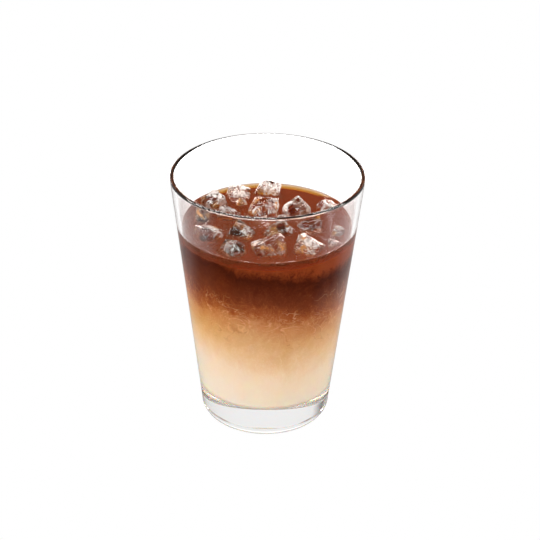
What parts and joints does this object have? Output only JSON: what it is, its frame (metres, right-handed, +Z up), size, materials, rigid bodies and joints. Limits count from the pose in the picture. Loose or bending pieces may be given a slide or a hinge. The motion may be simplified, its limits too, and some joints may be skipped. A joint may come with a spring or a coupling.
{
  "type": "iced latte in a glass tumbler",
  "caption": "Layered iced latte, milk at the bottom and coffee on top, with broken ice floating in it, in a tapered thick-based clear glass tumbler.",
  "frame": {"origin": "centre of the foot, on the plane that the glass stands on", "axes": "+Z up, out of the mouth of the glass; -Y towards the viewer of the picture, +X to their right"},
  "size_m": [0.088, 0.088, 0.123],
  "materials": {
    "clear_glass": "clear polished glass",
    "milk": "cream-coloured milk with a little coffee in it, wet",
    "milky_coffee": "cloudy milk and coffee mixed, wet",
    "coffee": "dark brown translucent coffee, wet",
    "ice": "melting clear ice with cracks"
  },
  "bodies": {
    "root": {"tumbler": "clear_glass", "milk": "milk", "milky_coffee": "milky_coffee", "coffee": "coffee", "ice_back_left": "ice", "ice_back_white": "ice", "ice_back_centre": "ice", "ice_centre": "ice", "ice_centre_right": "ice", "ice_right_back": "ice", "ice_left_back": "ice", "ice_left_wall": "ice", "ice_left": "ice", "ice_centre_left": "ice", "ice_middle": "ice", "ice_right": "ice", "ice_right_wall": "ice", "ice_front_left": "ice", "ice_front": "ice", "ice_front_right": "ice", "ice_chip_centre": "ice", "ice_chip_left": "ice", "ice_chip_right": "ice"}
  },
  "joints": []
}
